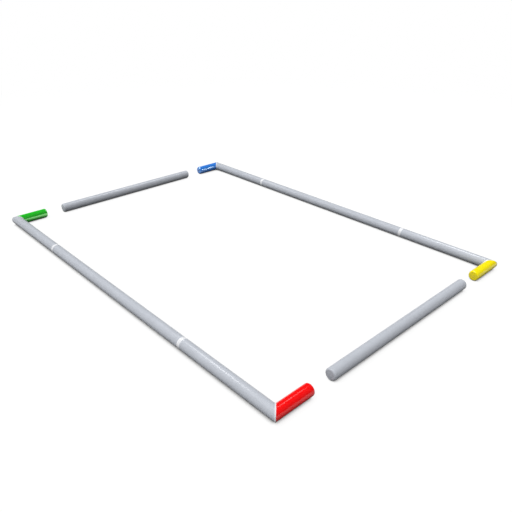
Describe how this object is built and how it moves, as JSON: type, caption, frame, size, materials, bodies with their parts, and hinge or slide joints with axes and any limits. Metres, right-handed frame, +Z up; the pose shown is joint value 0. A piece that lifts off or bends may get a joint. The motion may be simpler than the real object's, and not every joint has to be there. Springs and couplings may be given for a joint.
{
  "type": "inflatable training field boundary",
  "caption": "Airtight inflated tubes that lie on the ground round a training field, with coloured corner returns, loose gateway tubes and capped inflation valves.",
  "frame": {"origin": "on the ground at the middle of the field", "axes": "+X along the long runs towards the red and yellow returns, +Y across the field from the left run to the right run, +Z up"},
  "size_m": [12.852, 9.102, 0.302],
  "materials": {
    "grey_vinyl": "satin",
    "white_tape": "satin",
    "red_vinyl": "gloss",
    "green_vinyl": "gloss",
    "blue_vinyl": "gloss",
    "yellow_vinyl": "gloss",
    "valve_plastic": "satin",
    "cap_plastic": "satin",
    "stainless_wire": "polished"
  },
  "bodies": {
    "boundary": {"blue_end_disc": "blue_vinyl", "blue_mitre_tape": "white_tape", "blue_return": "blue_vinyl", "blue_valve_body": "valve_plastic", "blue_valve_nut": "valve_plastic", "blue_valve_pin": "stainless_wire", "blue_valve_spring": "stainless_wire", "green_end_disc": "green_vinyl", "green_mitre_tape": "white_tape", "green_return": "green_vinyl", "green_valve_body": "valve_plastic", "green_valve_nut": "valve_plastic", "green_valve_pin": "stainless_wire", "green_valve_spring": "stainless_wire", "left_band_back": "white_tape", "left_band_front": "white_tape", "left_panel_back": "grey_vinyl", "left_panel_front": "grey_vinyl", "left_panel_mid": "grey_vinyl", "red_end_disc": "red_vinyl", "red_mitre_tape": "white_tape", "red_return": "red_vinyl", "right_band_back": "white_tape", "right_band_front": "white_tape", "right_panel_back": "grey_vinyl", "right_panel_front": "grey_vinyl", "right_panel_mid": "grey_vinyl", "yellow_end_disc": "yellow_vinyl", "yellow_mitre_tape": "white_tape", "yellow_return": "yellow_vinyl"},
    "back_tube": {"back_tube_left_disc": "grey_vinyl", "back_tube_right_disc": "grey_vinyl", "back_tube_skin": "grey_vinyl", "back_tube_valve_body": "valve_plastic", "back_tube_valve_nut": "valve_plastic", "back_tube_valve_pin": "stainless_wire", "back_tube_valve_spring": "stainless_wire"},
    "front_tube": {"front_tube_left_disc": "grey_vinyl", "front_tube_right_disc": "grey_vinyl", "front_tube_skin": "grey_vinyl", "front_tube_valve_body": "valve_plastic", "front_tube_valve_nut": "valve_plastic", "front_tube_valve_pin": "stainless_wire", "front_tube_valve_spring": "stainless_wire"},
    "back_tube_valve_cap": {"back_tube_valve_cap": "cap_plastic"},
    "back_tube_valve_stem": {"back_tube_valve_stem": "valve_plastic"},
    "blue_valve_cap": {"blue_valve_cap": "cap_plastic"},
    "blue_valve_stem": {"blue_valve_stem": "valve_plastic"},
    "front_tube_valve_cap": {"front_tube_valve_cap": "cap_plastic"},
    "front_tube_valve_stem": {"front_tube_valve_stem": "valve_plastic"},
    "green_valve_cap": {"green_valve_cap": "cap_plastic"},
    "green_valve_stem": {"green_valve_stem": "valve_plastic"}
  },
  "joints": [
    {"name": "back_tube_shift", "type": "slide", "parent": "boundary", "child": "back_tube", "axis": [0, 1, 0], "range_m": [-0.5, 0.5]},
    {"name": "front_tube_shift", "type": "slide", "parent": "boundary", "child": "front_tube", "axis": [0, 1, 0], "range_m": [-0.5, 0.5]},
    {"name": "green_valve_cap_hinge", "type": "hinge", "parent": "boundary", "child": "green_valve_cap", "pos_m": [-6.275, -3.3953, 0.183], "axis": [1, 0, 0], "range_deg": [0, 135]},
    {"name": "green_valve_stem_push", "type": "slide", "parent": "boundary", "child": "green_valve_stem", "axis": [0, -1, 0], "range_m": [0, 0.006], "stiffness_N_per_m": 500, "springref_m": -0.006, "deforming": ["green_valve_spring"]},
    {"name": "blue_valve_cap_hinge", "type": "hinge", "parent": "boundary", "child": "blue_valve_cap", "pos_m": [-6.275, 3.3953, 0.183], "axis": [-1, 0, 0], "range_deg": [0, 135]},
    {"name": "blue_valve_stem_push", "type": "slide", "parent": "boundary", "child": "blue_valve_stem", "axis": [0, 1, 0], "range_m": [0, 0.006], "stiffness_N_per_m": 500, "springref_m": -0.006, "deforming": ["blue_valve_spring"]},
    {"name": "back_tube_valve_cap_hinge", "type": "hinge", "parent": "back_tube", "child": "back_tube_valve_cap", "pos_m": [-6.275, 2.7797, 0.182], "axis": [1, 0, 0], "range_deg": [0, 135]},
    {"name": "back_tube_valve_stem_push", "type": "slide", "parent": "back_tube", "child": "back_tube_valve_stem", "axis": [0, -1, 0], "range_m": [0, 0.006], "stiffness_N_per_m": 500, "springref_m": -0.006, "deforming": ["back_tube_valve_spring"]},
    {"name": "front_tube_valve_cap_hinge", "type": "hinge", "parent": "front_tube", "child": "front_tube_valve_cap", "pos_m": [6.275, 2.7797, 0.182], "axis": [1, 0, 0], "range_deg": [0, 135]},
    {"name": "front_tube_valve_stem_push", "type": "slide", "parent": "front_tube", "child": "front_tube_valve_stem", "axis": [0, -1, 0], "range_m": [0, 0.006], "stiffness_N_per_m": 500, "springref_m": -0.006, "deforming": ["front_tube_valve_spring"]}
  ]
}
